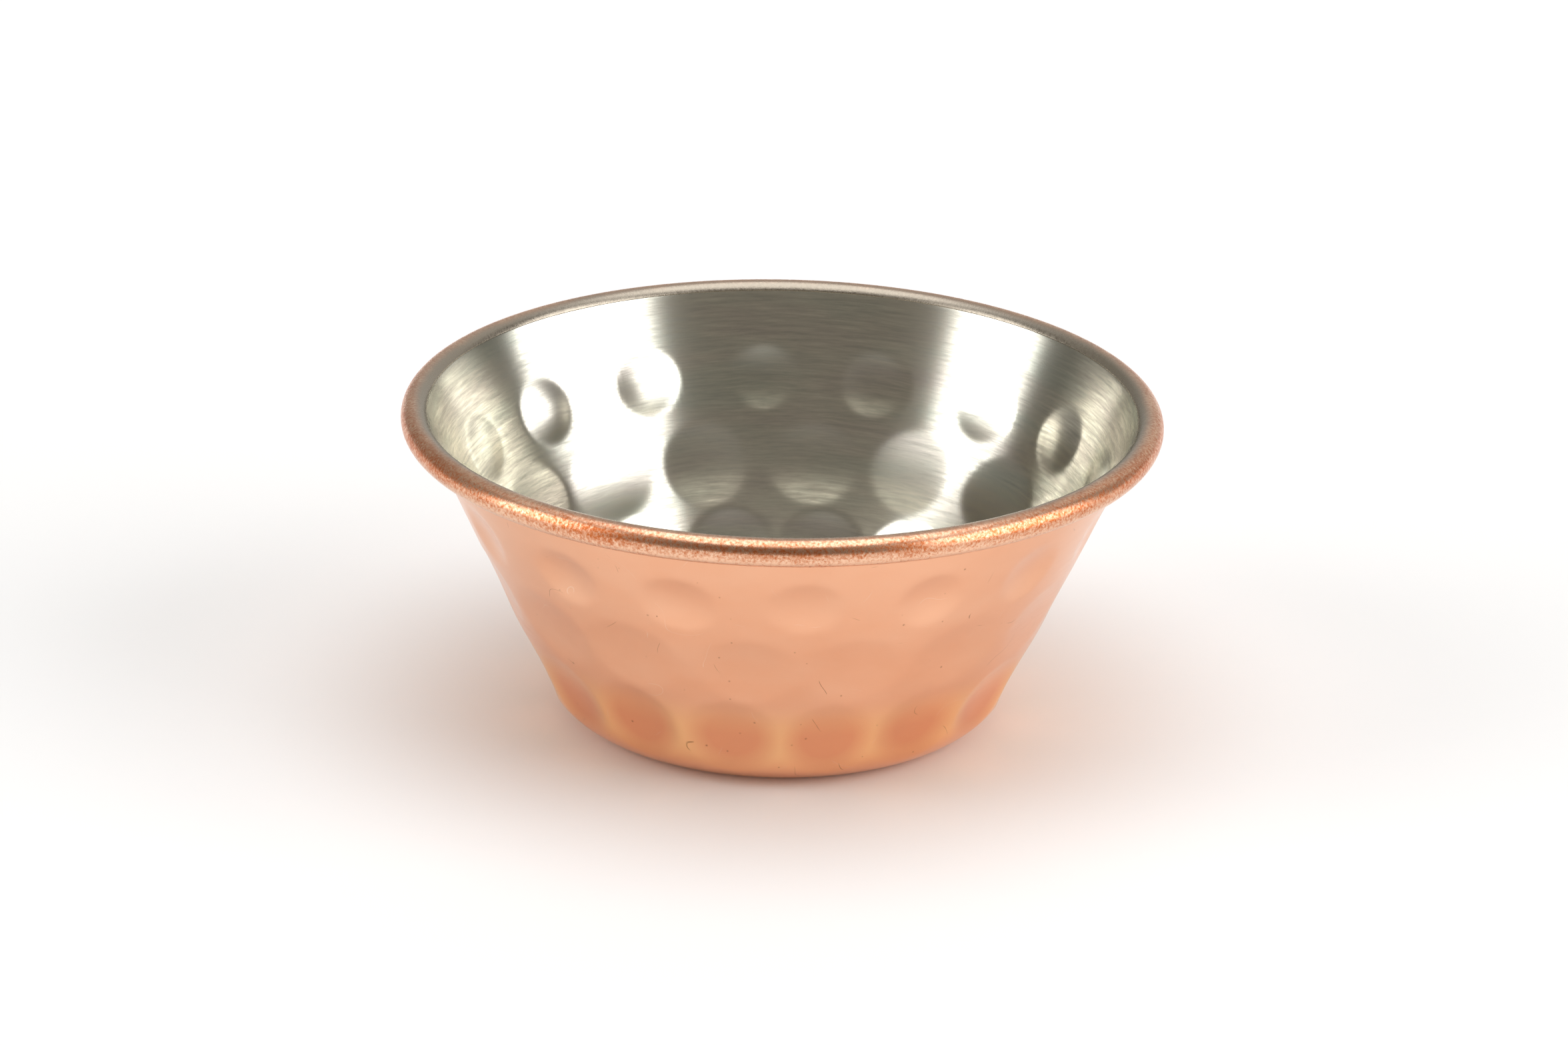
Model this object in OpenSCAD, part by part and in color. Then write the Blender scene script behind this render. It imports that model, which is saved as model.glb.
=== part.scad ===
// A small hammered sauce cup: one pressed sheet of stainless steel with a rolled rim,
// coated with copper on the outside. The cup stands on z = 0 with its axis on Z.

/* [Cup] */
// Diameter over the rolled rim
rim_d = 64; // [63:0.5:68]
// Height from the table to the crown of the rim
cup_h = 27.3; // [26.5:0.1:29]
// Lean of the wall away from the vertical, in degrees
wall_lean = 24.4; // [23.5:0.1:24.4]
// Outside radius of the heel, where the wall turns into the foot
heel_r = 5.4; // [5:0.1:5.8]

/* [Sheet] */
// Thickness of the steel sheet
steel_t = 0.4; // [0.3:0.05:0.5]
// Thickness of the copper coat
copper_t = 0.1; // [0.08:0.01:0.15]
// Outside diameter of the rolled rim, coat included
bead_d = 2.4; // [2.2:0.1:3]

/* [Foot] */
// Radius at which the foot ring turns up into the raised panel
panel_r = 12.4; // [10:0.1:13]
// How far the panel stands above the table
panel_rise = 0.4; // [0.2:0.1:0.8]

/* [Hammer marks] */
// Marks in each of the three rings
marks = 16; // [12:1:16]
// Depth of a mark
mark_depth = 0.36; // [0.2:0.02:0.5]
// Width of a mark across the wall
mark_w = 7; // [6:0.1:7]
// How far a mark may stray from its even place, in degrees
stray = 1; // [0:0.1:1]

/* [Hidden] */
$fn = 48;

// Height of each ring of marks, and the angle of its first mark from the front (-Y)
RINGS = [[19.6, 4.5], [13.0, 16], [5.4, 11.2]];

// The steel sheet alone: its rim circle and the line of its outer face
bead_r = bead_d / 2;
curl_r = bead_r - copper_t;
bead_x = rim_d / 2 - bead_r;
bead_z = cup_h - bead_r;
rim_centre = [bead_x, bead_z];
// Angles round the rim circle: the wall runs into the curl at its start, and the raw edge
// stops just short of the wall again at its end. The copper starts just over the crown.
curl_start = 180 - wall_lean;
curl_end = -140;
coat_start = 95;
// Up the wall, and square to it towards the axis
up = [sin(wall_lean), cos(wall_lean)];
inward = [-cos(wall_lean), sin(wall_lean)];

// Point on the rim circle's wall side, d outside the steel's inner face
function wall_top(d) = rim_centre + (curl_r - d) * inward;
// Radius of the wall at height z, d outside the steel's inner face
function wall_r(d, z) = wall_top(d)[0] - (wall_top(d)[1] - z) * tan(wall_lean);

// Centre of the heel's arcs: heel_r inside the copper's outer face, and that far above the table
outside = steel_t + copper_t;
heel_x = wall_r(outside, heel_r) - heel_r / cos(wall_lean);

// The heel's bend is drawn as this many short cones
heel_steps = 6;
// How far the section's wall runs on past the start of the curl
run_on = 1;

// Hammer face: a sphere that leaves a mark of this width and depth in the steel's outer face
hammer_r = (pow(mark_w / 2, 2) + pow(mark_depth, 2)) / (2 * mark_depth);

// The head is a little wider than its mark, and stands clear of the wall's outer face
head_spare = 0.1;
head_clear = 1;
head_r = mark_w / 2 + head_spare;
head_up = hammer_r - mark_depth - head_clear;

// A mark's share of the stray goes by the sine of an angle that moves on this much
// from mark to mark, and this much for each millimetre of the ring's height
mark_turn = 137.5;
ring_turn = 70;

function mark_angle(ring, i) =
    ring[1] + 360 / marks * i + stray * sin(mark_turn * i + ring_turn * ring[0]);
function mark_hammer(ring) =
    [wall_r(steel_t, ring[0]), ring[0]] - (hammer_r - mark_depth) * inward;

// Point on the heel's bend, a degrees round from the foot, on a face d outside the steel's inner face
function heel_point(d, a) = [heel_x, heel_r] + (heel_r - outside + d) * [sin(a), -cos(a)];

// Half section of the solid cup out to a face that lies d outside the steel's inner face,
// with the wall run straight on past the start of the curl
module section(d) {
    floor_z = heel_point(d, 0)[1];
    polygon([
        [0, floor_z + panel_rise],
        [panel_r - panel_rise, floor_z + panel_rise],
        [panel_r, floor_z],
        for (i = [0 : heel_steps])
            heel_point(d, (90 - wall_lean) * i / heel_steps),
        wall_top(d) + run_on * up,
        [0, bead_z + bead_x * tan(wall_lean) + run_on / cos(wall_lean)],
    ]);
}

// Everything between two directions from the rim circle's centre, its far corners
// no further apart than the stated turn
wedge_turn = 80;
module wedge(a, b) {
    steps = ceil((b - a) / wedge_turn);
    polygon([
        rim_centre,
        for (i = [0 : steps])
            let (t = a + (b - a) * i / steps)
                rim_centre + 2 * rim_d * [cos(t), sin(t)],
    ]);
}

// One hammer head, its domed face down along -Z and the dome's centre at the origin
module hammer(r) {
    rotate_extrude()
        intersection() {
            circle(r);
            translate([0, -2 * r]) square([head_r, 2 * r - head_up]);
        }
}

// The three rings of hammer heads, g smaller than the one that touches the steel
module hammers(g) {
    for (ring = RINGS, i = [0 : marks - 1])
        rotate(mark_angle(ring, i) - 90)
            translate([mark_hammer(ring)[0], 0, mark_hammer(ring)[1]])
                rotate([0, 90 + wall_lean, 0])
                    hammer(hammer_r - g);
}

// The solid cup out to face d, with the marks pressed in. It stops where the curl starts,
// unless it is the cavity that a wall is hollowed with.
module pressed(d, cavity = false) {
    difference() {
        rotate_extrude()
            difference() {
                section(d);
                if (!cavity) wedge(curl_start - 90, curl_start);
            }
        hammers(d - steel_t);
    }
}

// A stretch of the rolled rim between two radii, from angle a to angle b
module curl(inner, outer, a, b) {
    intersection() {
        translate(rim_centre)
            difference() {
                circle(outer);
                circle(inner);
            }
        wedge(a, b);
    }
}

// The pressed sheet: floor, heel and wall, and the rim rolled outwards and down
module steel_cup() {
    color("silver") {
        difference() {
            pressed(steel_t);
            pressed(0, cavity = true);
        }
        rotate_extrude() curl(curl_r - steel_t, curl_r, curl_end, curl_start);
    }
}

// The coat on the wall and heel, from the edge of the foot to the crease under the rim
module copper_wall_coat() {
    color("peru")
        difference() {
            pressed(outside);
            pressed(steel_t, cavity = true);
            cylinder(h = 2 * heel_r, r = heel_x, center = true);
        }
}

// The coat under the foot
module copper_foot_coat() {
    color("peru")
        rotate_extrude()
            polygon([
                [0, panel_rise],
                [panel_r - panel_rise, panel_rise],
                [panel_r, 0],
                [heel_x, 0],
                [heel_x, copper_t],
                [panel_r, copper_t],
                [panel_r - panel_rise, copper_t + panel_rise],
                [0, copper_t + panel_rise],
            ]);
}

// The coat on the rolled rim, from its crown round to the raw edge
module copper_rim_coat() {
    color("sienna")
        rotate_extrude() curl(curl_r, bead_r, curl_end, coat_start);
}

steel_cup();
copper_wall_coat();
copper_foot_coat();
copper_rim_coat();
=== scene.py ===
# %% [markdown]
# # A hammered sauce cup, copper outside and steel inside
#
# This notebook dresses a small table cup of the kind that holds a dip or a sauce. The real cup is
# one disc of stainless steel. A press draws it into a flared cup, a second tool rolls the rim
# outwards into a hollow bead, a domed punch strikes three rings of marks into the wall from
# outside, and a thin coat of copper goes on last, on the outside only.
#
# The sizes come from a frame that is loaded first. Each surface is then made as a section, a line
# drawn in the plane of the cup's axis, and turned round that axis by one Geometry Nodes tree.
# The same tree strikes the marks.

# %% Load the frame
import math
import bpy
from mathutils import Euler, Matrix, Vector


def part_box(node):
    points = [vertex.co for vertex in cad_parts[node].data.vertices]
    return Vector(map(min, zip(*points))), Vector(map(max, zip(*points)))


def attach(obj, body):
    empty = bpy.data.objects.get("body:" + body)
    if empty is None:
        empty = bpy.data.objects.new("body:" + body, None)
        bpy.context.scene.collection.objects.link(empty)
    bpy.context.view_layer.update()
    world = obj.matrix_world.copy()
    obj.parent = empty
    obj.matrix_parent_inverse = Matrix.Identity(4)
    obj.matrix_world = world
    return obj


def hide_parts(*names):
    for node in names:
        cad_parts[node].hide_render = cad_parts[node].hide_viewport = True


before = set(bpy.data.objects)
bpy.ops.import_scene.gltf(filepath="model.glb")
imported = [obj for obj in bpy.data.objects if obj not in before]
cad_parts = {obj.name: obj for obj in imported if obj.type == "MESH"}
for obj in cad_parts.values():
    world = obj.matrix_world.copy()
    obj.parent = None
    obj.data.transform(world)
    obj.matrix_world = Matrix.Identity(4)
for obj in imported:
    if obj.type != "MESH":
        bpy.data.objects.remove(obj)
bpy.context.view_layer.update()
print("the frame holds", sorted(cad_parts))

# %% [markdown]
# ## The cup's sizes
#
# A frame part's box says how far it reaches, and a few boxes are enough to place everything here.
# The copper on the rim gives the bead's thickness and the circle that it is rolled round, and the
# copper under the foot gives the ring that the cup stands on. The sheet's own thickness and the
# lean of the wall can't be read off a box, so they are stated.

# %% Sizes of the bead, the wall and the foot, in metres
MM = 0.001
SHEET = 0.4 * MM
COAT = 0.1 * MM
WALL_LEAN = math.radians(24.4)
PANEL_RISE = 0.4 * MM
PANEL_R = 12.4 * MM

rim_low, rim_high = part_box("copper_rim_coat")
foot_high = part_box("copper_foot_coat")[1]
bead_r = (rim_high.z - rim_low.z) / 2
bead_x = rim_high.x - bead_r
bead_z = rim_high.z - bead_r
heel_x = foot_high.x
curl_r = bead_r - COAT
whole_wall = SHEET + COAT

print(f"bead {2 * bead_r / MM:.2f} mm thick on a circle of radius {bead_x / MM:.2f} mm")
print(f"foot ring of radius {heel_x / MM:.2f} mm, rim at {rim_high.z / MM:.2f} mm")

# %% [markdown]
# ### The line of the wall
#
# Every face of the cup is named by how far it lies outside the steel's inner face. That distance
# is called depth: nothing for the inner face itself, the sheet's thickness for the steel's outer
# face, and the sheet and the coat together for the copper that is seen. The straight wall is known
# from the circle of the curl, which it touches, and from its lean.

# %% Where the wall lies
lean_sin, lean_cos, lean_tan = math.sin(WALL_LEAN), math.cos(WALL_LEAN), math.tan(WALL_LEAN)


def wall_top(depth):
    """Where the wall meets the curl, as (radius, height) on the face at this depth."""
    reach = curl_r - depth
    return bead_x - reach * lean_cos, bead_z + reach * lean_sin


def wall_radius(depth, z):
    """Radius of the unhammered wall at height z, on the face at this depth."""
    top_r, top_z = wall_top(depth)
    return top_r - (top_z - z) * lean_tan


heel_r = (wall_radius(whole_wall, 0) - heel_x) / (1 / lean_cos - lean_tan)
print(f"heel bent to {heel_r / MM:.2f} mm")
print(f"the wall's line meets the table {wall_radius(whole_wall, 0) / MM:.2f} mm from the axis")

# %% [markdown]
# ## Sections
#
# A section is a list of (radius, height) points. Long straight stretches and bends both need
# points close together here, because the hammer marks bend the wall later and can only bend it
# where there is a point to move. Two small functions space the points evenly, one along a line
# and one along an arc, and the rest is drawing.

# %% Points along a line and along an arc
def along_line(start, end, step):
    """Points from start up to but not including end, about a step apart."""
    count = max(1, math.ceil(math.dist(start, end) / step))
    run, rise = (end[0] - start[0]) / count, (end[1] - start[1]) / count
    return [(start[0] + run * i, start[1] + rise * i) for i in range(count)]


def along_arc(centre, radius, begin, finish, step):
    """Points on an arc between two angles in degrees, about a step apart, both ends kept."""
    sweep = math.radians(finish - begin)
    count = max(2, math.ceil(abs(sweep) * radius / step))
    angles = [math.radians(begin) + sweep * i / count for i in range(count + 1)]
    return [(centre[0] + radius * math.cos(a), centre[1] + radius * math.sin(a)) for a in angles]


print("straight lines and arcs can be drawn")

# %% [markdown]
# ### The foot, the heel and the wall
#
# The foot is a flat ring with a raised panel inside it. The step between the two is a soft bend,
# drawn as a cubic curve whose ends run on into the flats. The heel is an arc about one centre for
# every face, so the sheet keeps its thickness round it.

# %% The line from the axis to the rim, in two stretches
lean_deg = math.degrees(WALL_LEAN)
PANEL_BEND = 1.0 * MM
BEND_STEPS = 10
FLOOR_STEP = 0.8 * MM


def blend_point(a, b, c, d, t):
    """Point at t on the cubic curve that leaves a towards b and reaches d from c."""
    k = [(1 - t) ** 3, 3 * t * (1 - t) ** 2, 3 * t * t * (1 - t), t ** 3]
    return tuple(sum(w * p[i] for w, p in zip(k, (a, b, c, d))) for i in (0, 1))


def foot_line(depth, step):
    """From the axis out along the raised panel and down to where the foot ring ends."""
    face_z = whole_wall - depth
    high, low = (PANEL_R - PANEL_RISE, face_z + PANEL_RISE), (PANEL_R, face_z)
    before = (high[0] - PANEL_BEND, high[1])
    after = (low[0] + PANEL_BEND, low[1])
    bend = [blend_point(before, high, low, after, i / BEND_STEPS) for i in range(BEND_STEPS)]
    panel = along_line((0, high[1]), before, step)
    return panel + bend + along_line(after, (heel_x, face_z), step)


def wall_line(depth, step):
    """From the foot ring round the heel and up the wall to the curl."""
    radius = heel_r - whole_wall + depth
    bend = along_arc((heel_x, heel_r), radius, -90, -lean_deg, step)
    return bend[:-1] + along_line(bend[-1], wall_top(depth), step) + [wall_top(depth)]


print("points on the outer face:", len(foot_line(whole_wall, FLOOR_STEP)), "in the foot")

# %% [markdown]
# ## One lathe for every piece
#
# A lathe turns a section round an axis. Blender has a Screw modifier for that, and the same thing
# in Geometry Nodes is a grid whose columns go round the axis and whose rows follow the section's
# points. The tree is worth the trouble: it lets the hammer marks be worked out in the same place,
# for every face of every layer, so that the copper and the steel under it are always struck alike.

# %% One helper that adds a node
def add(tree, kind, inputs=None, **settings):
    """Add a node. Settings are its own properties; inputs are its sockets' values or feeds."""
    node = tree.nodes.new(kind)
    for name, value in settings.items():
        setattr(node, name, value)
    for name, value in (inputs or {}).items():
        if isinstance(value, bpy.types.Node):
            value = value.outputs[0]
        if isinstance(value, bpy.types.NodeSocket):
            tree.links.new(value, node.inputs[name])
        else:
            node.inputs[name].default_value = value
    return node


def new_tree(name, inputs, outputs):
    """An empty Geometry Nodes tree with the sockets named, and its input and output nodes."""
    tree = bpy.data.node_groups.new(name, "GeometryNodeTree")
    for label, kind in inputs:
        tree.interface.new_socket(label, in_out="INPUT", socket_type=kind)
    for label, kind in outputs:
        tree.interface.new_socket(label, in_out="OUTPUT", socket_type=kind)
    return tree, tree.nodes.new("NodeGroupInput"), tree.nodes.new("NodeGroupOutput")


print("nodes and trees can be made")

# %% [markdown]
# ### One ring of hammer marks
#
# A mark is a shallow dish. Where it lies is known by two distances from its centre, one round the
# wall and one up it, and its depth fades from the centre to nothing at its edge. The marks of a
# ring sit at even angles, and each strays a little, as a struck mark does: Random Value nodes with
# fixed seeds give each mark its own place, width, height on the wall and depth from its number. Two
# marks that nearly touch leave a soft ridge between them, so the marks on both sides of a point are
# worked out and joined with a smooth maximum.

# %% The tree for a ring of marks
WIDTH_STRAY = 0.08
DEPTH_STRAY = 0.12
HEIGHT_STRAY = 0.25 * MM
RIDGE_BLEND = 0.06 * MM
SEED_STEP = 100

MARK_INPUTS = [
    ("Angle", "NodeSocketFloat"), ("Round", "NodeSocketFloat"), ("Up", "NodeSocketFloat"),
    ("Marks", "NodeSocketInt"), ("First angle", "NodeSocketFloat"), ("Height", "NodeSocketFloat"),
    ("Half width", "NodeSocketFloat"), ("Half height", "NodeSocketFloat"),
    ("Depth", "NodeSocketFloat"), ("Stray", "NodeSocketFloat"), ("Seed", "NodeSocketInt"),
    ("Roundness", "NodeSocketFloat"),
]


def mark_tree():
    """A field: how deep one ring of marks is at a point of the wall."""
    tree, given, out = new_tree("ring_of_marks", MARK_INPUTS, [("Depth", "NodeSocketFloat")])
    g = given.outputs
    pitch = add(tree, "ShaderNodeMath", {0: math.tau, 1: g["Marks"]}, operation="DIVIDE")
    from_first = add(tree, "ShaderNodeMath", {
        0: g["Angle"], 1: g["First angle"],
    }, operation="SUBTRACT")
    in_pitches = add(tree, "ShaderNodeMath", {0: from_first, 1: pitch}, operation="DIVIDE")
    below = add(tree, "ShaderNodeMath", {0: in_pitches}, operation="FLOOR")
    dishes = []
    for step in (0, 1):
        slot = add(tree, "ShaderNodeMath", {0: below, 1: step}, operation="ADD")
        number = add(tree, "ShaderNodeMath", {0: slot, 1: g["Marks"], 2: 0.0}, operation="WRAP")
        luck = []
        for draw in range(4):
            draw_seed = add(tree, "ShaderNodeMath", {
                0: g["Seed"], 1: SEED_STEP * draw,
            }, operation="ADD")
            drawn = add(tree, "FunctionNodeRandomValue", {
                "Min": (-1, -1, -1), "Max": (1, 1, 1), "ID": number, "Seed": draw_seed,
            }, data_type="FLOAT_VECTOR")
            luck.append(add(tree, "ShaderNodeSeparateXYZ", {0: drawn}))
        shift = add(tree, "ShaderNodeMath", {0: luck[0], 1: g["Stray"]}, operation="MULTIPLY")
        centre = add(tree, "ShaderNodeMath", {
            0: slot, 1: pitch, 2: shift,
        }, operation="MULTIPLY_ADD")
        off_angle = add(tree, "ShaderNodeMath", {0: from_first, 1: centre}, operation="SUBTRACT")
        off_round = add(tree, "ShaderNodeMath", {0: off_angle, 1: g["Round"]}, operation="MULTIPLY")
        wide = add(tree, "ShaderNodeMath", {
            0: luck[1], 1: WIDTH_STRAY, 2: 1.0,
        }, operation="MULTIPLY_ADD")
        half_w = add(tree, "ShaderNodeMath", {0: g["Half width"], 1: wide}, operation="MULTIPLY")
        x = add(tree, "ShaderNodeMath", {0: off_round, 1: half_w}, operation="DIVIDE")
        lift = add(tree, "ShaderNodeMath", {
            0: luck[2], 1: HEIGHT_STRAY, 2: g["Height"],
        }, operation="MULTIPLY_ADD")
        off_up = add(tree, "ShaderNodeMath", {0: g["Up"], 1: lift}, operation="SUBTRACT")
        y = add(tree, "ShaderNodeMath", {0: off_up, 1: g["Half height"]}, operation="DIVIDE")
        spot = add(tree, "ShaderNodeCombineXYZ", {0: x, 1: y})
        away = add(tree, "ShaderNodeVectorMath", {0: spot, 1: spot}, operation="DOT_PRODUCT")
        left = add(tree, "ShaderNodeMath", {
            0: 1.0, 1: away.outputs["Value"],
        }, operation="SUBTRACT", use_clamp=True)
        dish = add(tree, "ShaderNodeMath", {0: left, 1: g["Roundness"]}, operation="POWER")
        deep = add(tree, "ShaderNodeMath", {
            0: luck[3], 1: DEPTH_STRAY, 2: 1.0,
        }, operation="MULTIPLY_ADD")
        amount = add(tree, "ShaderNodeMath", {0: g["Depth"], 1: deep}, operation="MULTIPLY")
        dishes.append(add(tree, "ShaderNodeMath", {0: dish, 1: amount}, operation="MULTIPLY"))
    both = add(tree, "ShaderNodeMath", {
        0: dishes[0], 1: dishes[1], 2: RIDGE_BLEND,
    }, operation="SMOOTH_MAX")
    tree.links.new(both.outputs[0], out.inputs[0])
    return tree


ring_of_marks = mark_tree()
print("made", ring_of_marks.name, "with", len(ring_of_marks.nodes), "nodes")

# %% [markdown]
# ### The three rings
#
# The rings run from the rim down. The marks of the top two are half a pitch apart. The lowest ring
# is struck deepest and its marks nearly touch, so the wall between them stands up as short ridges.
# Roundness is the power that a mark's profile is raised to: nearer one gives a sharper edge.

# %% Sizes of the three rings
MARKS = 16
STRAY = math.radians(0.9)
RINGS = [
    # height, first angle from the front, half width, half height, depth, roundness, seed
    (19.6 * MM, 4.5, 3.4 * MM, 3.2 * MM, 0.37 * MM, 1.3, 11),
    (13.0 * MM, 16, 4.5 * MM, 3.9 * MM, 0.29 * MM, 1.2, 23),
    (5.4 * MM, 12.2, 4.2 * MM, 4.5 * MM, 0.54 * MM, 1.2, 37),
]
LOW_DEPTH = RINGS[-1][4]
FRONT = math.radians(-90)
print(len(RINGS), "rings of", MARKS, "marks")

# %% [markdown]
# ### The lathe itself
#
# The grid's own coordinates run from -0.5 to 0.5 both ways. Its x becomes the angle round the
# axis and its y the number of the section's point, which Sample Index looks up. Then the marks
# push the wall inwards, square to the unhammered wall. How deep in a mark of the lowest ring each
# point lies is kept as an attribute, for the copper to use. The last column lies on the first, and
# a point on the axis is there once for each column, so Merge by Distance closes both.

# %% The tree that turns and hammers a section
SEAM_GAP = 0.001 * MM
LATHE_INPUTS = [
    ("Section", "NodeSocketGeometry"), ("Columns", "NodeSocketInt"),
    ("Material", "NodeSocketMaterial"),
]


def lathe_tree():
    """Turns a section round the axis, strikes the marks, and closes the seam and the poles."""
    tree, given, out = new_tree("lathe_and_hammer", LATHE_INPUTS, [("Cup", "NodeSocketGeometry")])
    g = given.outputs
    rows = add(tree, "GeometryNodeAttributeDomainSize", {
        "Geometry": g["Section"],
    }, component="MESH")
    columns = add(tree, "ShaderNodeMath", {0: g["Columns"], 1: 1.0}, operation="ADD")
    points = rows.outputs["Point Count"]
    grid = add(tree, "GeometryNodeMeshGrid", {
        "Size X": 1.0, "Size Y": 1.0, "Vertices X": columns, "Vertices Y": points,
    })
    place = add(tree, "ShaderNodeSeparateXYZ", {0: add(tree, "GeometryNodeInputPosition")})
    angle = add(tree, "ShaderNodeMath", {0: place.outputs["X"], 1: math.tau}, operation="MULTIPLY")
    last = add(tree, "ShaderNodeMath", {0: points, 1: 1.0}, operation="SUBTRACT")
    half = add(tree, "ShaderNodeMath", {0: place.outputs["Y"], 1: 0.5}, operation="ADD")
    row = add(tree, "ShaderNodeMath", {0: half, 1: last}, operation="MULTIPLY")
    row = add(tree, "ShaderNodeMath", {0: row}, operation="ROUND")
    point = add(tree, "GeometryNodeSampleIndex", {
        "Geometry": g["Section"], "Value": add(tree, "GeometryNodeInputPosition"), "Index": row,
    }, data_type="FLOAT_VECTOR", domain="POINT")
    section = add(tree, "ShaderNodeSeparateXYZ", {0: point})
    radius, height = section.outputs["X"], section.outputs["Z"]

    # How far up the slope of the wall a point lies, from where the wall's line meets the table
    out_of = add(tree, "ShaderNodeMath", {
        0: radius, 1: wall_radius(SHEET, 0),
    }, operation="SUBTRACT")
    up_r = add(tree, "ShaderNodeMath", {0: out_of, 1: lean_sin}, operation="MULTIPLY")
    up = add(tree, "ShaderNodeMath", {0: height, 1: lean_cos, 2: up_r}, operation="MULTIPLY_ADD")
    struck = None
    for z, first, half_w, half_h, depth, roundness, seed in RINGS:
        ring = add(tree, "GeometryNodeGroup", {
            "Angle": angle, "Round": wall_radius(SHEET, z), "Up": up, "Marks": MARKS,
            "First angle": FRONT + math.radians(first), "Height": z / lean_cos,
            "Half width": half_w, "Half height": half_h, "Depth": depth, "Stray": STRAY,
            "Seed": seed, "Roundness": roundness,
        }, node_tree=ring_of_marks)
        struck = ring if struck is None else add(tree, "ShaderNodeMath", {
            0: struck, 1: ring, 2: RIDGE_BLEND,
        }, operation="SMOOTH_MAX")
    new_r = add(tree, "ShaderNodeMath", {
        0: struck, 1: -lean_cos, 2: radius,
    }, operation="MULTIPLY_ADD")
    new_z = add(tree, "ShaderNodeMath", {
        0: struck, 1: lean_sin, 2: height,
    }, operation="MULTIPLY_ADD")
    cos = add(tree, "ShaderNodeMath", {0: angle}, operation="COSINE")
    sin = add(tree, "ShaderNodeMath", {0: angle}, operation="SINE")
    x = add(tree, "ShaderNodeMath", {0: new_r, 1: cos}, operation="MULTIPLY")
    y = add(tree, "ShaderNodeMath", {0: new_r, 1: sin}, operation="MULTIPLY")
    share = add(tree, "ShaderNodeMath", {0: ring, 1: LOW_DEPTH}, operation="DIVIDE")
    noted = add(tree, "GeometryNodeStoreNamedAttribute", {
        "Geometry": grid, "Name": "low_mark", "Value": share,
    }, data_type="FLOAT", domain="POINT")
    turned = add(tree, "GeometryNodeSetPosition", {
        "Geometry": noted, "Position": add(tree, "ShaderNodeCombineXYZ", {0: x, 1: y, 2: new_z}),
    })
    closed = add(tree, "GeometryNodeMergeByDistance", {
        "Geometry": turned, "Distance": SEAM_GAP,
    })
    smooth = add(tree, "GeometryNodeSetShadeSmooth", {"Geometry": closed, "Shade Smooth": True})
    real = add(tree, "GeometryNodeRealizeInstances", {"Geometry": smooth})
    painted = add(tree, "GeometryNodeSetMaterial", {
        "Geometry": real, "Material": g["Material"],
    })
    tree.links.new(painted.outputs[0], out.inputs[0])
    return tree


lathe = lathe_tree()
print("made", lathe.name, "with", len(lathe.nodes), "nodes")

# %% [markdown]
# ### Running the lathe
#
# A section goes in as a mesh of points and edges, and the finished shell comes out as a plain mesh
# with the modifier gone. The number of columns is as high as the largest piece's triangles allow.

# %% A function that runs the lathe
COLUMNS = 380


def face_out(mesh):
    """Point every face outwards: a shell that encloses a negative volume is inside out."""
    mesh.calc_loop_triangles()
    corners = [v.co for v in mesh.vertices]
    volume = sum(
        corners[a].dot(corners[b].cross(corners[c]))
        for a, b, c in (t.vertices for t in mesh.loop_triangles)
    )
    if volume < 0:
        mesh.flip_normals()


def turn(name, section, material):
    """Turn a closed section into a finished mesh object, and drop the modifier."""
    line = bpy.data.meshes.new(name + "_section")
    edges = [(i, i + 1) for i in range(len(section) - 1)]
    line.from_pydata([(r, 0, z) for r, z in section], edges, [])
    blank = bpy.data.objects.new(name + "_section", line)
    bpy.context.scene.collection.objects.link(blank)
    modifier = blank.modifiers.new("lathe", "NODES")
    modifier.node_group = lathe
    values = {"Columns": COLUMNS, "Material": material}
    for item in lathe.interface.items_tree:
        if item.name in values:
            modifier[item.identifier] = values[item.name]
    blank.update_tag()
    bpy.context.view_layer.update()
    graph = bpy.context.evaluated_depsgraph_get()
    mesh = bpy.data.meshes.new_from_object(blank.evaluated_get(graph))
    mesh.name = name
    bpy.data.objects.remove(blank)
    piece = bpy.data.objects.new(name, mesh)
    bpy.context.scene.collection.objects.link(piece)
    face_out(mesh)
    mesh.calc_loop_triangles()
    print(f"{name}: {len(section)} rows, {len(mesh.loop_triangles)} triangles")
    return piece


print("the lathe can be run")

# %% [markdown]
# ## Finishes
#
# All three finishes are metal. A metal has no colour of its own but tints what it reflects, so
# most of the look comes from how rough it is, in which direction, and what stands around it.
# The cup was brushed while it spun, so every fine line on it runs round the axis.

# %% Colours as a painter would write them
def colour(hex_code):
    """An sRGB hex colour as the linear values that a shader takes."""
    channels = [int(hex_code[i:i + 2], 16) / 255 for i in (1, 3, 5)]
    linear = [c / 12.92 if c <= 0.04045 else ((c + 0.055) / 1.055) ** 2.4 for c in channels]
    return (*linear, 1.0)


def new_material(name):
    """A material with an empty tree, its shader and its output."""
    material = bpy.data.materials.new(name)
    material.use_nodes = True
    material.node_tree.nodes.clear()
    tree = material.node_tree
    shader = add(tree, "ShaderNodeBsdfPrincipled", {"Metallic": 1.0})
    add(tree, "ShaderNodeOutputMaterial", {"Surface": shader})
    return material, tree, shader


print("white is", colour("#FFFFFF"), "to a shader")

# %% [markdown]
# ### Coordinates that run round the cup
#
# Brush lines are long round the axis and very close together across it. A noise is drawn out like
# that by stretching its coordinates: the direction from the axis is a point on a unit circle, and
# a few units round that circle make long streaks, while the height counts in far smaller steps.
# Unlike an angle, the unit circle has no seam. Height and distance from the axis are added, so that
# the lines are as close on a flat floor as on an upright wall.

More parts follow.
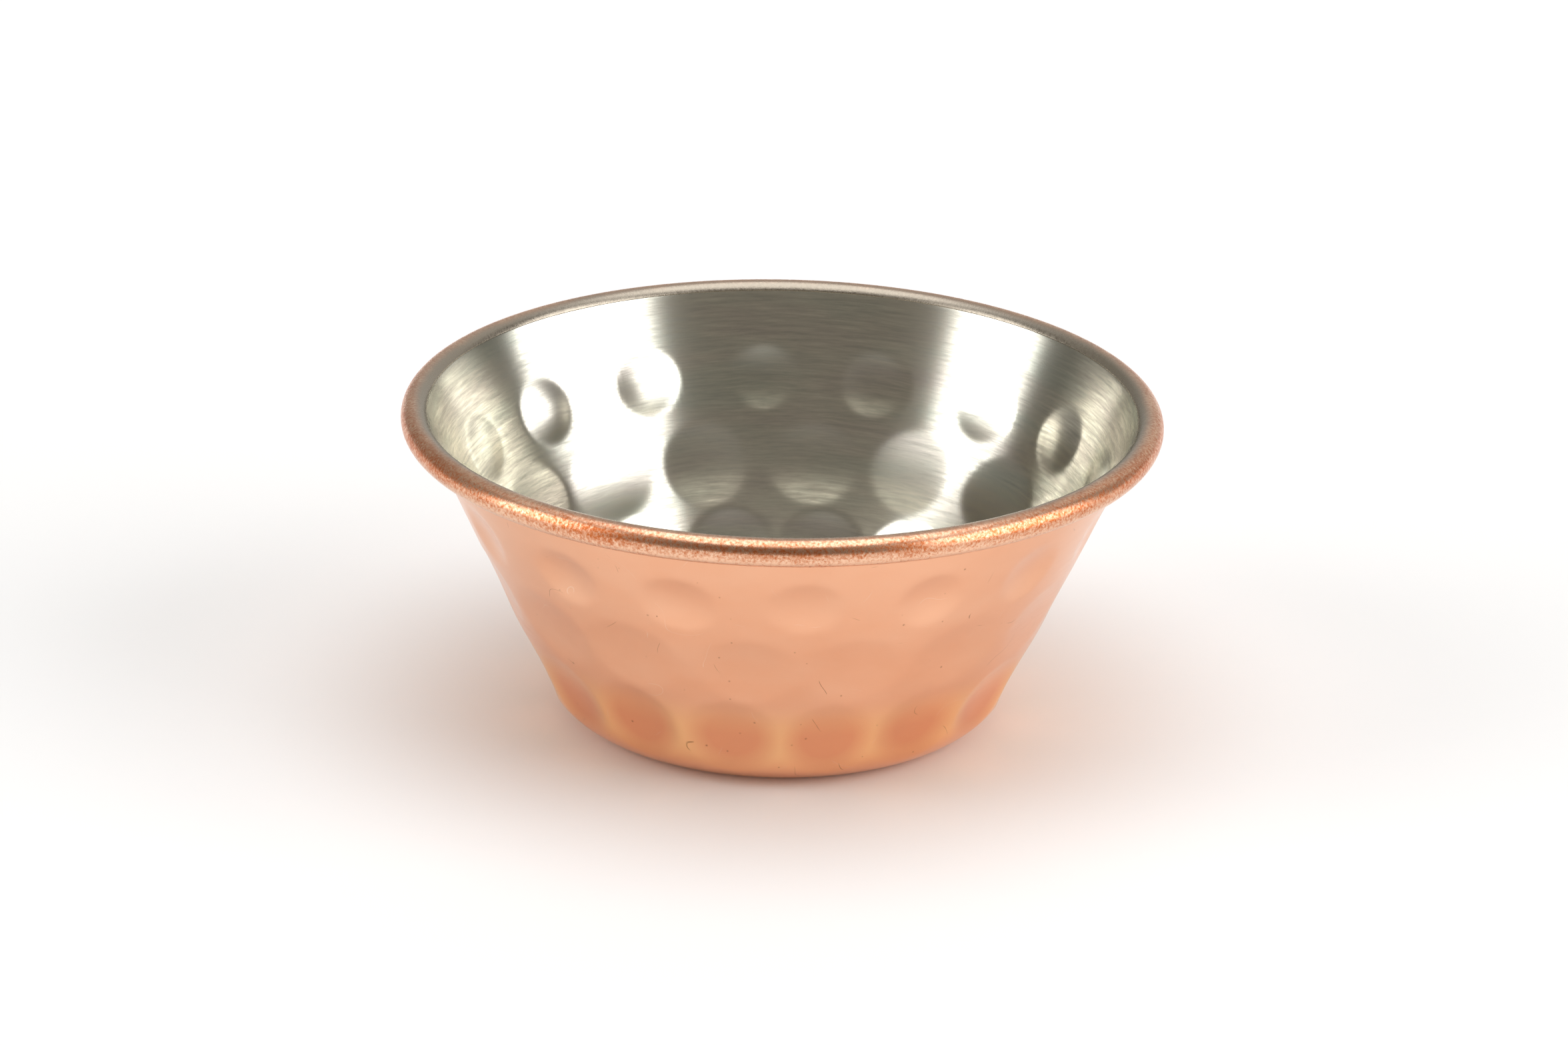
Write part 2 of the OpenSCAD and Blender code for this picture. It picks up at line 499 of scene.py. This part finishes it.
# %% Coordinates for brush lines, and fades by height
def from_axis(tree):
    """The place square to the axis, its distance from the axis, and its height."""
    where = add(tree, "ShaderNodeTexCoord").outputs["Object"]
    flat = add(tree, "ShaderNodeVectorMath", {0: where, 1: (1, 1, 0)}, operation="MULTIPLY")
    length = add(tree, "ShaderNodeVectorMath", {0: flat}, operation="LENGTH").outputs["Value"]
    height = add(tree, "ShaderNodeSeparateXYZ", {0: where}).outputs["Z"]
    return flat, length, height


def round_the_axis(tree, around, across):
    """Coordinates with `around` units to a radian and `across` units to a metre of height."""
    flat, length, height = from_axis(tree)
    unit = add(tree, "ShaderNodeVectorMath", {0: flat}, operation="NORMALIZE")
    wide = add(tree, "ShaderNodeVectorMath", {0: unit, "Scale": around}, operation="SCALE")
    split = add(tree, "ShaderNodeSeparateXYZ", {0: wide})
    slope = add(tree, "ShaderNodeMath", {0: height, 1: length}, operation="ADD")
    fine = add(tree, "ShaderNodeMath", {0: slope, 1: across}, operation="MULTIPLY")
    return add(tree, "ShaderNodeCombineXYZ", {
        0: split.outputs[0], 1: split.outputs[1], 2: fine,
    })


def fade(tree, value, start, stop, low=0.0, high=1.0):
    """Low where the value is at start, high where it is at stop, and a soft change between."""
    return add(tree, "ShaderNodeMapRange", {
        "Value": value, "From Min": start, "From Max": stop, "To Min": low, "To Max": high,
    }, interpolation_type="SMOOTHSTEP")


print("brush lines run round the axis")

# %% [markdown]
# ### Brushed stainless steel
#
# The inside is stainless steel with a fine satin brush. A brushed metal is rough across its lines
# and nearly smooth along them, so a light in it is drawn out across the lines. The Principled
# shader does this with its anisotropy, and a quarter turn puts the long way of the highlight
# square to the lines. The lines themselves are a faint bump, a change of roughness and a change of
# brightness. They are drawn about half a millimetre apart with finer ones between, coarser than a
# real brush leaves them, because real ones are too fine to show from where the cup is seen.

# %% The steel
STEEL_TONES = ((0.30, "#D3CCC2"), (0.50, "#D9D5C8"), (0.70, "#D2D3C6"))
STEEL_CLOUD = 2.2, 260
STEEL_BRUSH = 6, 2200
STEEL_LINES_DARK, STEEL_LINES_LIGHT = 0.60, 1.25
STEEL_ROUGH, STEEL_SMOOTH = 0.27, 0.18
STEEL_ANISOTROPY = 0.6
QUARTER_TURN = 0.25


def brushed_steel():
    """Satin stainless steel, brushed round the axis."""
    material, tree, shader = new_material("brushed_stainless_steel")
    tone = add(tree, "ShaderNodeTexNoise", {
        "Vector": round_the_axis(tree, *STEEL_CLOUD), "Scale": 1.0, "Detail": 3.0,
    })
    tint = add(tree, "ShaderNodeValToRGB", {0: tone})
    tint.color_ramp.elements.new(0.5)
    for element, (place, code) in zip(tint.color_ramp.elements, STEEL_TONES):
        element.position = place
        element.color = colour(code)
    lines = add(tree, "ShaderNodeTexNoise", {
        "Vector": round_the_axis(tree, *STEEL_BRUSH),
        "Scale": 1.0, "Detail": 5.0, "Roughness": 0.75,
    })
    streak = add(tree, "ShaderNodeMapRange", {
        "Value": lines, "From Min": 0.25, "From Max": 0.75,
        "To Min": STEEL_LINES_DARK, "To Max": STEEL_LINES_LIGHT,
    })
    metal = add(tree, "ShaderNodeVectorMath", {0: tint, "Scale": streak}, operation="SCALE")
    wear = add(tree, "ShaderNodeMapRange", {
        "Value": lines, "From Min": 0.3, "From Max": 0.7,
        "To Min": STEEL_ROUGH, "To Max": STEEL_SMOOTH,
    })
    bump = add(tree, "ShaderNodeBump", {
        "Height": lines, "Strength": 0.12, "Distance": 0.02 * MM,
    })
    spin = add(tree, "ShaderNodeTangent", direction_type="RADIAL", axis="Z")
    tree.links.new(metal.outputs[0], shader.inputs["Base Color"])
    tree.links.new(wear.outputs[0], shader.inputs["Roughness"])
    tree.links.new(bump.outputs[0], shader.inputs["Normal"])
    tree.links.new(spin.outputs[0], shader.inputs["Tangent"])
    shader.inputs["Anisotropic"].default_value = STEEL_ANISOTROPY
    shader.inputs["Anisotropic Rotation"].default_value = QUARTER_TURN
    return material


steel = brushed_steel()
print("made", steel.name)

# %% [markdown]
# ### Marks of use
#
# A cup that goes to the table every night has pits and hairline scratches. A pit is a small spot
# round the middle of a Voronoi cell, and only some cells have one. A hairline is where a smooth
# noise passes through its middle value: that is a long thin winding line, and a second noise keeps
# only short pieces of it.

# %% Pits and hairlines
HAIRLINE_PATCH = 0.4
HAIRLINE_EDGE = 0.04


def pits(tree, spacing, size, share):
    """One in a pit and nothing elsewhere, for a spacing, a largest size and a share of cells."""
    where = add(tree, "ShaderNodeTexCoord").outputs["Object"]
    cell = add(tree, "ShaderNodeTexVoronoi", {"Vector": where, "Scale": 1 / spacing})
    luck = add(tree, "ShaderNodeSeparateXYZ", {0: cell.outputs["Color"]})
    wide = add(tree, "ShaderNodeMath", {
        0: luck.outputs["Y"], 1: size / spacing,
    }, operation="MULTIPLY")
    spot = add(tree, "ShaderNodeMapRange", {
        "Value": cell.outputs["Distance"], "From Min": wide, "From Max": 0.0,
        "To Min": 0.0, "To Max": 1.0,
    })
    chosen = add(tree, "ShaderNodeMath", {
        0: luck.outputs["X"], 1: share,
    }, operation="LESS_THAN")
    return add(tree, "ShaderNodeMath", {0: spot, 1: chosen}, operation="MULTIPLY")


def hairlines(tree, size, width, keep, offset):
    """Thin lines, for a bend size and a width. Keep nearer one leaves fewer of them."""
    where = add(tree, "ShaderNodeTexCoord").outputs["Object"]
    moved = add(tree, "ShaderNodeVectorMath", {0: where, 1: (offset, 0, 0)}, operation="ADD")
    wave = add(tree, "ShaderNodeTexNoise", {"Vector": moved, "Scale": 1 / size, "Detail": 1.0})
    off = add(tree, "ShaderNodeMath", {0: wave, 1: 0.5}, operation="SUBTRACT")
    apart = add(tree, "ShaderNodeMath", {0: off}, operation="ABSOLUTE")
    line = add(tree, "ShaderNodeMapRange", {
        "Value": apart, "From Min": width / size, "From Max": 0.0,
        "To Min": 0.0, "To Max": 1.0,
    })
    patch = add(tree, "ShaderNodeTexNoise", {
        "Vector": moved, "Scale": 1 / (HAIRLINE_PATCH * size), "Detail": 2.0,
    })
    kept = add(tree, "ShaderNodeMapRange", {
        "Value": patch, "From Min": keep, "From Max": keep + HAIRLINE_EDGE,
        "To Min": 0.0, "To Max": 1.0,
    })
    return add(tree, "ShaderNodeMath", {0: line, 1: kept}, operation="MULTIPLY")


print("pits and hairlines can be drawn")

# %% [markdown]
# ### Copper on the wall
#
# The coat was rubbed to a satin after the marks were struck. Low on the wall, where the ridges
# between the lowest marks stand, the colour is a painted highlight, brighter and yellower. Towards
# the heel it turns to a painted reflection of the shaded, copper-warmed floor beside the foot. The
# deep dishes of that ring get a painted shade, darker and redder, for the dark floor near the foot
# that they face. The painted shade grows with the depth of the mark, and fades out above the ring
# and towards the heel.

# %% The copper on the wall
COPPER_CLOUD = 4, 220
COPPER_BRUSH = 7, 5000
CLEAN_DARK, CLEAN_LIGHT = "#F0B28D", "#F6C3A2"
# Painted highlight: the lower wall, where the ridges between the lowest marks stand, is painted
# brighter and yellower, and this is where it fades in by height
PAINTED_RIDGE_HIGHLIGHT, RIDGE_HIGHLIGHT_FADE = "#FFCE9A", (9.5 * MM, 5.5 * MM)
# Painted reflection at the heel: warmer and more orange, for the shaded, copper-warmed floor beside
# the foot
PAINTED_HEEL_REFLECTION, HEEL_REFLECTION_FADE = "#FCBE92", (4.2 * MM, 1.4 * MM)
# Painted shade in the dishes of the lowest ring, for the dark floor near the foot that they face
PAINTED_DISH_SHADE = "#F0AB84"
DISH_SHADE_DEPTHS = 0.02, 0.70
DISH_SHADE_TOP_FADE = 8.8 * MM, 5.2 * MM, 0.35
DISH_SHADE_FOOT_FADE = 0.8 * MM, 3.6 * MM, 0.55
DARK_MARK, DARK_STRENGTH = "#7A3F24", 0.75
LIGHT_MARK, LIGHT_STRENGTH = "#FBDCC4", 0.6
PIT_SPACING, PIT_SIZE, PIT_SHARE = 1.0 * MM, 0.15 * MM, 0.5
DARK_HAIRS = 8 * MM, 0.012 * MM, 0.60, 5
LIGHT_HAIRS = 7 * MM, 0.012 * MM, 0.56, 7
SATIN_SMOOTH, SATIN_ROUGH = 0.15, 0.24


def copper_tone(tree):
    """The colour of the coat before any pits and scratches, with painted highlight, reflection and
    shade low on the wall.
    """
    cloud = add(tree, "ShaderNodeTexNoise", {
        "Vector": round_the_axis(tree, *COPPER_CLOUD), "Scale": 1.0, "Detail": 4.0,
    })
    clean = add(tree, "ShaderNodeMix", {
        0: cloud, 6: colour(CLEAN_DARK), 7: colour(CLEAN_LIGHT),
    }, data_type="RGBA")
    height = from_axis(tree)[2]
    # Painted highlight: brighter and yellower below the middle ring, seen on the ridges between the
    # lowest marks
    ridge_highlight = add(tree, "ShaderNodeMix", {
        0: fade(tree, height, *RIDGE_HIGHLIGHT_FADE), 6: clean.outputs[2], 7: colour(PAINTED_RIDGE_HIGHLIGHT),
    }, data_type="RGBA")
    # Painted reflection: the colour turns warmer towards the heel
    heel = add(tree, "ShaderNodeMix", {
        0: fade(tree, height, *HEEL_REFLECTION_FADE), 6: ridge_highlight.outputs[2], 7: colour(PAINTED_HEEL_REFLECTION),
    }, data_type="RGBA")
    depth = add(tree, "ShaderNodeAttribute", attribute_name="low_mark").outputs["Fac"]
    # Painted shade: darker and redder the deeper a point lies in a mark of the lowest ring
    dish_shade = add(tree, "ShaderNodeMapRange", {
        "Value": depth, "From Min": DISH_SHADE_DEPTHS[0], "From Max": DISH_SHADE_DEPTHS[1],
        "To Min": 0.0, "To Max": 1.0,
    })
    for ends in (DISH_SHADE_TOP_FADE, DISH_SHADE_FOOT_FADE):
        dish_shade = add(tree, "ShaderNodeMath", {
            0: dish_shade, 1: fade(tree, height, *ends),
        }, operation="MULTIPLY")
    return add(tree, "ShaderNodeMix", {
        0: dish_shade, 6: heel.outputs[2], 7: colour(PAINTED_DISH_SHADE),
    }, data_type="RGBA").outputs[2]


def satin_copper():
    """A thin copper coat over steel, rubbed to a satin and a little worn."""
    material, tree, shader = new_material("satin_copper_coat")
    dark = add(tree, "ShaderNodeMath", {
        0: pits(tree, PIT_SPACING, PIT_SIZE, PIT_SHARE), 1: hairlines(tree, *DARK_HAIRS),
    }, operation="MAXIMUM")
    dark = add(tree, "ShaderNodeMath", {0: dark, 1: DARK_STRENGTH}, operation="MULTIPLY")
    marked = add(tree, "ShaderNodeMix", {
        0: dark, 6: copper_tone(tree), 7: colour(DARK_MARK),
    }, data_type="RGBA")
    light = add(tree, "ShaderNodeMath", {
        0: hairlines(tree, *LIGHT_HAIRS), 1: LIGHT_STRENGTH,
    }, operation="MULTIPLY")
    rubbed = add(tree, "ShaderNodeMix", {
        0: light, 6: marked.outputs[2], 7: colour(LIGHT_MARK),
    }, data_type="RGBA")
    lines = add(tree, "ShaderNodeTexNoise", {
        "Vector": round_the_axis(tree, *COPPER_BRUSH),
        "Scale": 1.0, "Detail": 4.0, "Roughness": 0.6,
    })
    satin = add(tree, "ShaderNodeMapRange", {
        "Value": lines, "From Min": 0.3, "From Max": 0.7,
        "To Min": SATIN_SMOOTH, "To Max": SATIN_ROUGH,
    })
    bump = add(tree, "ShaderNodeBump", {
        "Height": lines, "Strength": 0.2, "Distance": 0.015 * MM,
    })
    tree.links.new(rubbed.outputs[2], shader.inputs["Base Color"])
    tree.links.new(satin.outputs[0], shader.inputs["Roughness"])
    tree.links.new(bump.outputs[0], shader.inputs["Normal"])
    return material


copper = satin_copper()
print("made", copper.name)

# %% [markdown]
# ### Worn copper on the rim
#
# The bead is what fingers and cloths touch, so its copper has turned brown and rubbed into a fine
# grain. The brown lies as a band on its outer side, paler below and a little rubbed on top. The
# band is partly real browning and partly painted shade, for the dark stretch of the room that the
# bead's outer side faces. The coat also thins towards the inside: it is full on the outside of the
# bead, and over the crown it fades into bare steel. The shader finds how far round the bead a point
# lies from its height and its distance from the axis.

# %% The copper on the rim
GRAIN_SIZE = 0.24 * MM
PATCH_SIZE = 6 * MM
RIM_BRUSH = 8, 5000
# Brown band round the bead's outer side: partly real browning, partly painted shade
BROWN_AND_SHADE_FADE = math.radians(-45), math.radians(15), 0.0, 0.68
RUBBED_FADE = math.radians(25), math.radians(60), 1.0, 0.65
BARE_FADE = math.radians(52), math.radians(122)
# The brown tone is partly the coat's own browning and partly painted shade
RIM_CLEAN, RIM_BROWN_AND_SHADE, RIM_BARE = "#F5CAAB", "#C46C3B", "#A89E90"
# How much a noise, which lies about one half, moves the brown with its painted shade, and the
# fading
BROWN_AND_SHADE_PATCHES, BROWN_AND_SHADE_GRAIN = 0.9, 2.8
BARE_PATCHES, BARE_GRAIN = 0.7, 0.3
RIM_SMOOTH, RIM_ROUGH = 0.22, 0.36


def round_the_bead(tree):
    """Angle round the bead: nothing on its outer side and a quarter turn on the crown."""
    length, height = from_axis(tree)[1:]
    out = add(tree, "ShaderNodeMath", {0: length, 1: bead_x}, operation="SUBTRACT")
    above = add(tree, "ShaderNodeMath", {0: height, 1: bead_z}, operation="SUBTRACT")
    return add(tree, "ShaderNodeMath", {0: above, 1: out}, operation="ARCTAN2")


def worn_copper():
    """Copper gone brown and grained by handling, with painted shade in the brown band, thinning to
    steel over the crown.
    """
    material, tree, shader = new_material("worn_copper_rim")
    where = add(tree, "ShaderNodeTexCoord").outputs["Object"]
    grain = add(tree, "ShaderNodeTexNoise", {
        "Vector": where, "Scale": 1 / GRAIN_SIZE, "Detail": 3.0, "Roughness": 0.7,
    })
    patch = add(tree, "ShaderNodeTexNoise", {
        "Vector": where, "Scale": 1 / PATCH_SIZE, "Detail": 4.0, "Roughness": 0.6,
    })
    lines = add(tree, "ShaderNodeTexNoise", {
        "Vector": round_the_axis(tree, *RIM_BRUSH), "Scale": 1.0, "Detail": 3.0,
    })
    angle = round_the_bead(tree)

    def unevenly(value, patches, grains, clamp):
        """The value moved up and down by the patches and by the grain."""
        for noise, share, last in ((patch, patches, False), (grain, grains, clamp)):
            moved = add(tree, "ShaderNodeMath", {
                0: noise, 1: share, 2: -share / 2,
            }, operation="MULTIPLY_ADD")
            value = add(tree, "ShaderNodeMath", {
                0: value, 1: moved,
            }, operation="ADD", use_clamp=last)
        return value

    # Brown band: partly real browning, partly painted shade for the dark stretch in front of the
    # bead
    brown_and_shade_side = add(tree, "ShaderNodeMath", {
        0: fade(tree, angle, *BROWN_AND_SHADE_FADE), 1: fade(tree, angle, *RUBBED_FADE),
    }, operation="MULTIPLY")
    browned_and_shaded = unevenly(brown_and_shade_side, BROWN_AND_SHADE_PATCHES, BROWN_AND_SHADE_GRAIN, True)
    metal = add(tree, "ShaderNodeMix", {
        0: browned_and_shaded, 6: colour(RIM_CLEAN), 7: colour(RIM_BROWN_AND_SHADE),
    }, data_type="RGBA")
    where_bare = unevenly(angle, BARE_PATCHES, BARE_GRAIN, False)
    through = add(tree, "ShaderNodeMix", {
        0: fade(tree, where_bare, *BARE_FADE), 6: metal.outputs[2], 7: colour(RIM_BARE),
    }, data_type="RGBA")
    satin = add(tree, "ShaderNodeMapRange", {
        "Value": browned_and_shaded, "From Min": 0.0, "From Max": 1.0,
        "To Min": RIM_SMOOTH, "To Max": RIM_ROUGH,
    })
    rough = add(tree, "ShaderNodeMath", {0: grain, 1: 0.7}, operation="MULTIPLY")
    relief = add(tree, "ShaderNodeMath", {0: lines, 1: 0.3, 2: rough}, operation="MULTIPLY_ADD")
    bump = add(tree, "ShaderNodeBump", {
        "Height": relief, "Strength": 0.4, "Distance": 0.04 * MM,
    })
    tree.links.new(through.outputs[2], shader.inputs["Base Color"])
    tree.links.new(satin.outputs[0], shader.inputs["Roughness"])
    tree.links.new(bump.outputs[0], shader.inputs["Normal"])
    return material


rim_copper = worn_copper()
print("made", rim_copper.name)

# %% [markdown]
# ## The pieces
#
# Each section is drawn once round, out along one face and back along the other, so the lathe makes
# a closed shell with a real thickness. Faces that are seen get points close together, and faces
# that lie against another layer get fewer.

# %% The pressed steel sheet with its rolled rim
FINE = 0.3 * MM
COARSE = 0.8 * MM
CURL_FINE = 0.12 * MM
CURL_COARSE = 0.3 * MM
CURL_START = 180 - lean_deg
CURL_END = -140


def steel_section():
    """Inner face, over the curl, round the raw edge and back down the outer face to the axis."""
    centre = (bead_x, bead_z)
    inner = foot_line(0, FLOOR_STEP) + wall_line(0, FINE)
    over = along_arc(centre, curl_r, CURL_START, CURL_END, CURL_FINE)
    under = along_arc(centre, curl_r - SHEET, CURL_END, CURL_START, CURL_COARSE)
    outer = foot_line(SHEET, FLOOR_STEP) + wall_line(SHEET, COARSE)
    return inner[:-1] + over + under[:-1] + outer[::-1]


steel_cup = turn("cup_pressed_sheet", steel_section(), steel)

# %% The copper on the wall and heel
def wall_coat_section():
    """Up the outside of the coat and back down where it lies on the steel."""
    outer = wall_line(whole_wall, FINE)
    inner = wall_line(SHEET, COARSE)
    return outer + inner[::-1] + outer[:1]


wall_coat = turn("copper_on_wall", wall_coat_section(), copper)

# %% The copper under the foot
def foot_coat_section():
    """Out along the underside and back along the steel."""
    under = foot_line(whole_wall, FLOOR_STEP) + [(heel_x, 0)]
    over = foot_line(SHEET, FLOOR_STEP) + [(heel_x, COAT)]
    return under + over[::-1]


foot_coat = turn("copper_under_foot", foot_coat_section(), copper)

# %% The copper on the rolled rim
THIN_FROM = 70
THIN_TO = 150
FEATHER = 0.01 * MM
RIM_STEPS = 60
RIM_INNER_STEP = 0.2 * MM


def coat_radius(degrees):
    """Outer radius of the coat on the bead: full on the outside, feathered past the crown."""
    t = min(1, max(0, (degrees - THIN_FROM) / (THIN_TO - THIN_FROM)))
    return bead_r - (COAT - FEATHER) * t * t * (3 - 2 * t)


def rim_coat_section():
    """Round the coat's outside from past the crown to the raw edge, and back on the steel."""
    outer = []
    for i in range(RIM_STEPS + 1):
        degrees = THIN_TO + (CURL_END - THIN_TO) * i / RIM_STEPS
        radius, a = coat_radius(degrees), math.radians(degrees)
        outer.append((bead_x + radius * math.cos(a), bead_z + radius * math.sin(a)))
    inner = along_arc((bead_x, bead_z), curl_r, CURL_END, THIN_TO, RIM_INNER_STEP)
    return outer + inner + outer[:1]


rim_coat = turn("copper_on_rim", rim_coat_section(), rim_copper)

# %% Hand each piece to the frame
for piece, node, slot in (
    (steel_cup, "steel_cup", "stainless_steel"),
    (wall_coat, "copper_wall_coat", "copper"),
    (foot_coat, "copper_foot_coat", "copper"),
    (rim_coat, "copper_rim_coat", "worn_copper"),
):
    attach(piece, "root")
    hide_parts(node)
print("pieces handed over: 4")

# %% [markdown]
# ## Floor, light and camera
#
# The cup stands on a plain white floor in a bright tent. Bright metal shows its surroundings, so
# the tent matters as much as the finish: two tall soft lights stand to the left and right of the
# camera, and the stretch between them, where the photographer stands, is dark.

# %% A plain pale floor
FLOOR_HALF = 1.5
FLOOR_TONE = "#F7F7F7"
FLOOR_ROUGH = 0.9


def pale_floor():
    """A wide matt white sheet for the cup to stand on."""
    mesh = bpy.data.meshes.new("floor")
    corners = [(FLOOR_HALF * x, FLOOR_HALF * y, 0) for x, y in ((-1, -1), (1, -1), (1, 1), (-1, 1))]
    mesh.from_pydata(corners, [], [(0, 1, 2, 3)])
    floor = bpy.data.objects.new("floor", mesh)
    bpy.context.scene.collection.objects.link(floor)
    material = bpy.data.materials.new("matt_white_paper")
    material.use_nodes = True
    shader = material.node_tree.nodes["Principled BSDF"]
    shader.inputs["Base Color"].default_value = colour(FLOOR_TONE)
    shader.inputs["Roughness"].default_value = FLOOR_ROUGH
    mesh.materials.append(material)
    return floor


pale_floor()
print("floor laid,", 2 * FLOOR_HALF, "m wide")

# %% [markdown]
# ### The light tent
#
# The tent is painted on the sky. The turn away from the camera, in degrees from left to right as
# the camera looks, picks a brightness from a ramp: one ramp for the tent's wall, one for the slope
# above the soft boxes, and over both a light straight above.

# %% Brightnesses and where they lie
DIM_ROOM = (0.205, 0.186, 0.158, 1)
SOFT_BOX = (3.3, 3.3, 3.3, 1)
GAP = (0.15, 0.142, 0.125, 1)
BACK = (0.62, 0.61, 0.58, 1)
FAR_LEFT = (0.34, 0.33, 0.30, 1)
HIGH = (0.60, 0.60, 0.60, 1)
TOP = (2.1, 2.1, 2.1, 1)

WALL_BANDS = [
    (-180, BACK), (-150, FAR_LEFT), (-120, FAR_LEFT), (-108, GAP), (-95, GAP),
    (-90, SOFT_BOX), (-64, SOFT_BOX), (-58, DIM_ROOM), (45, DIM_ROOM), (50, SOFT_BOX),
    (97, SOFT_BOX), (101, GAP), (116, GAP), (130, BACK), (180, BACK),
]
SLOPE_BANDS = [(-80, HIGH), (-55, DIM_ROOM), (46, DIM_ROOM), (70, HIGH)]
# Sine of the rise at which one stretch gives way to the next
BOX_TOPS = 0.66, 0.74
OVERHEAD = 0.84, 0.90
print("the tent's wall has", len(WALL_BANDS), "stops")

# %% The tent
def light_tent():
    """The world: dark at the camera, a soft box on each side, pale behind, a light above."""
    world = bpy.data.worlds.new("light_tent")
    bpy.context.scene.world = world
    world.use_nodes = True
    tree = world.node_tree
    tree.nodes.clear()
    way = add(tree, "ShaderNodeSeparateXYZ", {
        0: add(tree, "ShaderNodeTexCoord").outputs["Generated"],
    })
    ahead = add(tree, "ShaderNodeMath", {0: way.outputs["Y"], 1: -1.0}, operation="MULTIPLY")
    turned = add(tree, "ShaderNodeMath", {0: way.outputs["X"], 1: ahead}, operation="ARCTAN2")
    share = add(tree, "ShaderNodeMath", {
        0: turned, 1: 1 / math.tau, 2: 0.5,
    }, operation="MULTIPLY_ADD")

    def bands(stops):
        """A ramp of brightness against the turn away from the camera in degrees."""
        ramp = add(tree, "ShaderNodeValToRGB", {0: share})
        elements = ramp.color_ramp.elements
        while len(elements) < len(stops):
            elements.new(0.5)
        for element, (degrees, level) in zip(elements, stops):
            element.position = degrees / 360 + 0.5
            element.color = level
        return ramp

    def risen(limits):
        """Nothing below the first limit and one above the second."""
        return add(tree, "ShaderNodeMapRange", {
            "Value": way.outputs["Z"], "From Min": limits[0], "From Max": limits[1],
            "To Min": 0.0, "To Max": 1.0,
        })

    walls = add(tree, "ShaderNodeMix", {
        0: risen(BOX_TOPS), 6: bands(WALL_BANDS), 7: bands(SLOPE_BANDS),
    }, data_type="RGBA")
    tent = add(tree, "ShaderNodeMix", {
        0: risen(OVERHEAD), 6: walls.outputs[2], 7: TOP,
    }, data_type="RGBA")
    light = add(tree, "ShaderNodeBackground", {"Color": tent.outputs[2], "Strength": 1.0})
    add(tree, "ShaderNodeOutputWorld", {"Surface": light})


light_tent()
bpy.context.scene.view_settings.view_transform = "Standard"
print("light tent is up")

# %% [markdown]
# ### The camera
#
# A long lens from a little above keeps the cup's ellipses calm. The small roll is the tilt of a
# camera that was set by hand.

# %% The camera
CAMERA_DISTANCE = 600 * MM
CAMERA_RISE = math.radians(21.5)
CAMERA_ROLL = math.radians(1.17)
AIM_HEIGHT = 16.55 * MM
AIM_SIDE = 0.315 * MM
LENS_MM = 163.26
SENSOR_MM = 36.0
CLIP_START = 10 * MM


def make_camera():
    """A long lens, a little above the cup and in front of it."""
    camera = bpy.data.objects.new("camera", bpy.data.cameras.new("camera"))
    camera.data.lens = LENS_MM
    camera.data.sensor_width = SENSOR_MM
    camera.data.clip_start = CLIP_START
    bpy.context.scene.collection.objects.link(camera)
    back = Vector((0, -math.cos(CAMERA_RISE), math.sin(CAMERA_RISE)))
    camera.location = back * CAMERA_DISTANCE + Vector((AIM_SIDE, 0, AIM_HEIGHT))
    level = Euler((math.pi / 2 - CAMERA_RISE, 0, 0)).to_matrix()
    roll = Euler((0, 0, CAMERA_ROLL)).to_matrix()
    camera.rotation_euler = (level @ roll).to_euler()
    bpy.context.scene.camera = camera
    return camera


make_camera()
print(f"camera {CAMERA_DISTANCE:.2f} m away, {math.degrees(CAMERA_RISE):.1f} degrees up")
